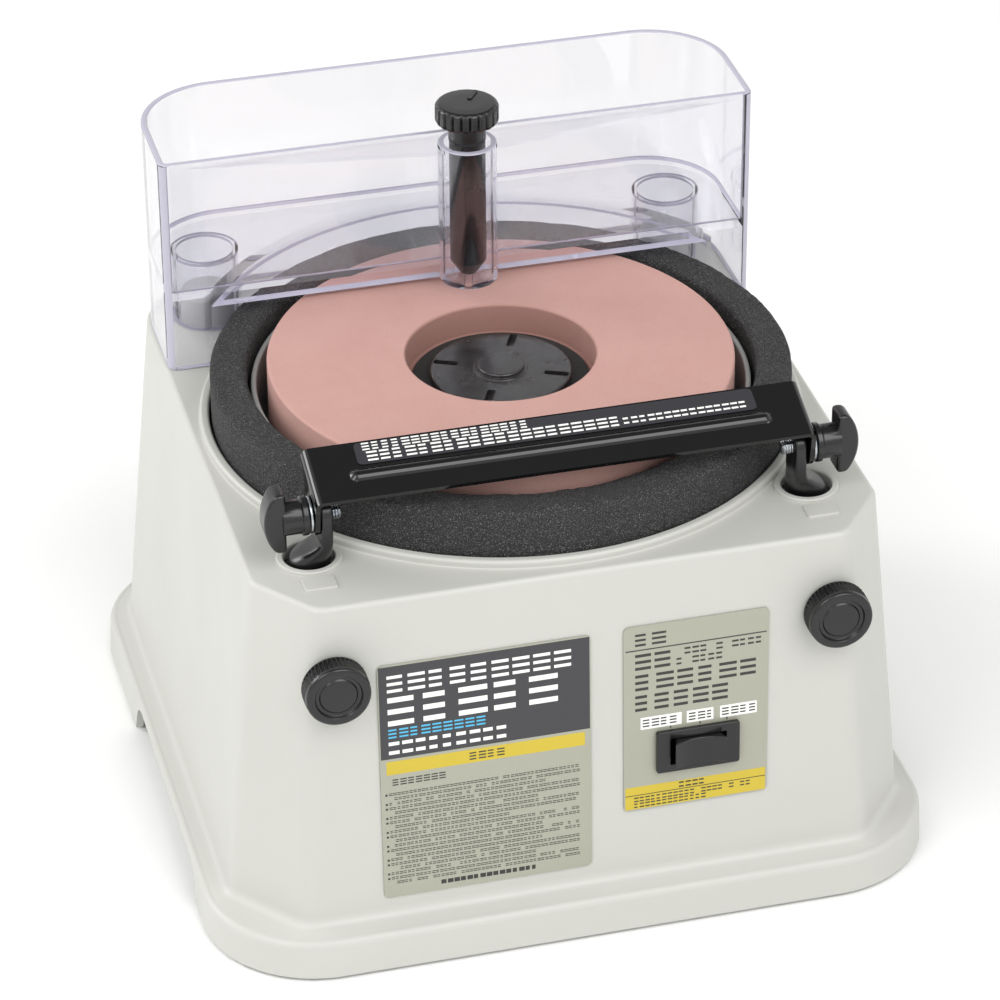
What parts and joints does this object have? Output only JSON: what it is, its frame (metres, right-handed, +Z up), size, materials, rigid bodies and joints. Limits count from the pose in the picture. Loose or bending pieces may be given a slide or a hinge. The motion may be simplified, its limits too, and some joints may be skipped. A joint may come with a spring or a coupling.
{
  "type": "wet grinding sharpener",
  "caption": "Bench wet grinder with a horizontal ring stone in a foam-lined well, a clear drip tank behind it and a tilting tool rest bar in front.",
  "frame": {"origin": "middle of the footprint on the surface the machine stands on", "axes": "+Z up, -Y towards the operator's side with the switch and the rest bar, +X to the operator's right"},
  "size_m": [0.286, 0.28, 0.2643],
  "materials": {
    "greige_abs": "fine-grained moulded ABS",
    "grey_basin": "moulded plastic",
    "charcoal_foam": "open-cell foam",
    "clear_tank": "clear moulded styrene plastic",
    "pink_stone": "bonded abrasive, matt",
    "black_plastic": "satin moulded plastic",
    "black_enamel": "gloss enamel on steel",
    "rubber": "matt rubber",
    "zinc": "bright zinc plate",
    "steel": "machined",
    "cast_aluminium": "cast and turned",
    "white_plastic": "moulded plastic",
    "label_print": null
  },
  "bodies": {
    "cabinet": {"base_cover": "greige_abs", "base_screw_front_left": "zinc", "base_screw_front_right": "zinc", "base_screw_rear_left": "zinc", "base_screw_rear_right": "zinc", "basin": "grey_basin", "bearing_housing": "cast_aluminium", "cabinet_shell": "greige_abs", "cord_inlet_gland": "rubber", "drain_elbow": "rubber", "drive_belt": "rubber", "foam_splash_ring": "charcoal_foam", "foot_front_left": "rubber", "foot_front_right": "rubber", "foot_rear_left": "rubber", "foot_rear_right": "rubber", "lower_bearing": "steel", "motor_bracket": "steel", "motor_lower_bell": "cast_aluminium", "motor_stator": "steel", "motor_upper_bell": "cast_aluminium", "notice_label": "label_print", "post_sleeve_left": "steel", "post_sleeve_right": "steel", "run_capacitor": "white_plastic", "shaft_seal": "rubber", "switch_housing": "black_plastic", "terminal_block": "white_plastic", "upper_bearing": "steel", "use_label": "label_print"},
    "spindle": {"spindle_shaft": "steel", "driven_pulley": "cast_aluminium", "water_slinger": "rubber", "stone_platter": "cast_aluminium", "grinding_stone": "pink_stone", "stone_washer": "rubber"},
    "stone_nut": {"stone_lock_nut": "black_plastic"},
    "rotor": {"motor_rotor": "steel", "drive_pulley": "cast_aluminium", "cooling_fan": "black_plastic"},
    "tank": {"water_tank": "clear_tank"},
    "valve_stem": {"valve_stem": "black_plastic"},
    "valve_knob": {"valve_knob": "black_plastic"},
    "post_left": {"guide_post_left": "black_plastic"},
    "post_right": {"guide_post_right": "black_plastic"},
    "rest_bar": {"tool_rest_bar": "black_enamel", "rest_bar_label": "label_print"},
    "wing_left": {"wing_screw_left": "black_plastic", "clamp_stud_left": "zinc", "clamp_washer_left": "zinc"},
    "wing_right": {"wing_screw_right": "black_plastic", "clamp_stud_right": "zinc", "clamp_washer_right": "zinc"},
    "lock_left": {"post_lock_knob_left": "black_plastic", "post_lock_stud_left": "zinc"},
    "lock_right": {"post_lock_knob_right": "black_plastic", "post_lock_stud_right": "zinc"},
    "rocker": {"switch_rocker": "black_plastic"}
  },
  "joints": [
    {"name": "spindle_spin", "type": "hinge", "parent": "cabinet", "child": "spindle", "pos_m": [0, -0.002, 0.12], "axis": [0, 0, 1], "continuous": true},
    {"name": "stone_nut_turn", "type": "hinge", "parent": "spindle", "child": "stone_nut", "pos_m": [0, -0.002, 0.171], "axis": [0, 0, 1], "range_deg": [0, 720]},
    {"name": "motor_spin", "type": "hinge", "parent": "cabinet", "child": "rotor", "pos_m": [0.06717, 0.06517, 0.08], "axis": [0, 0, 1], "continuous": true},
    {"name": "tank_lift", "type": "slide", "parent": "cabinet", "child": "tank", "axis": [0, 0, 1], "range_m": [0, 0.07]},
    {"name": "valve_lift", "type": "slide", "parent": "tank", "child": "valve_stem", "axis": [0, 0, 1], "range_m": [0, 0.00115]},
    {"name": "valve_turn", "type": "hinge", "parent": "valve_stem", "child": "valve_knob", "pos_m": [0, 0.0474, 0.2558], "axis": [0, 0, 1], "range_deg": [0, 270]},
    {"name": "post_left_lift", "type": "slide", "parent": "cabinet", "child": "post_left", "axis": [0, 0, 1], "range_m": [0, 0.025]},
    {"name": "post_right_lift", "type": "slide", "parent": "cabinet", "child": "post_right", "axis": [0, 0, 1], "range_m": [0, 0.025]},
    {"name": "bar_tilt", "type": "hinge", "parent": "post_left", "child": "rest_bar", "pos_m": [0, -0.092, 0.177], "axis": [1, 0, 0], "range_deg": [-20, 35]},
    {"name": "wing_left_turn", "type": "hinge", "parent": "post_left", "child": "wing_left", "pos_m": [-0.1, -0.092, 0.177], "axis": [-1, 0, 0], "range_deg": [0, 720]},
    {"name": "wing_right_turn", "type": "hinge", "parent": "post_right", "child": "wing_right", "pos_m": [0.1, -0.092, 0.177], "axis": [1, 0, 0], "range_deg": [0, 720]},
    {"name": "post_lock_left_turn", "type": "hinge", "parent": "cabinet", "child": "lock_left", "pos_m": [-0.0957, -0.127, 0.1247], "axis": [0, -1, 0], "range_deg": [0, 720]},
    {"name": "post_lock_right_turn", "type": "hinge", "parent": "cabinet", "child": "lock_right", "pos_m": [0.0957, -0.127, 0.1247], "axis": [0, -1, 0], "range_deg": [0, 720]},
    {"name": "switch_rock", "type": "hinge", "parent": "cabinet", "child": "rocker", "pos_m": [0.0425, -0.12738, 0.0738], "axis": [0, 0.0409, 0.9992], "range_deg": [-11, 11]}
  ],
  "couplings": [
    {"joint": "motor_spin", "follows": "spindle_spin", "ratio": 3.25},
    {"joint": "valve_lift", "follows": "valve_turn", "m_per_rad": 0.00023873},
    {"joint": "post_right_lift", "follows": "post_left_lift", "ratio": 1}
  ]
}
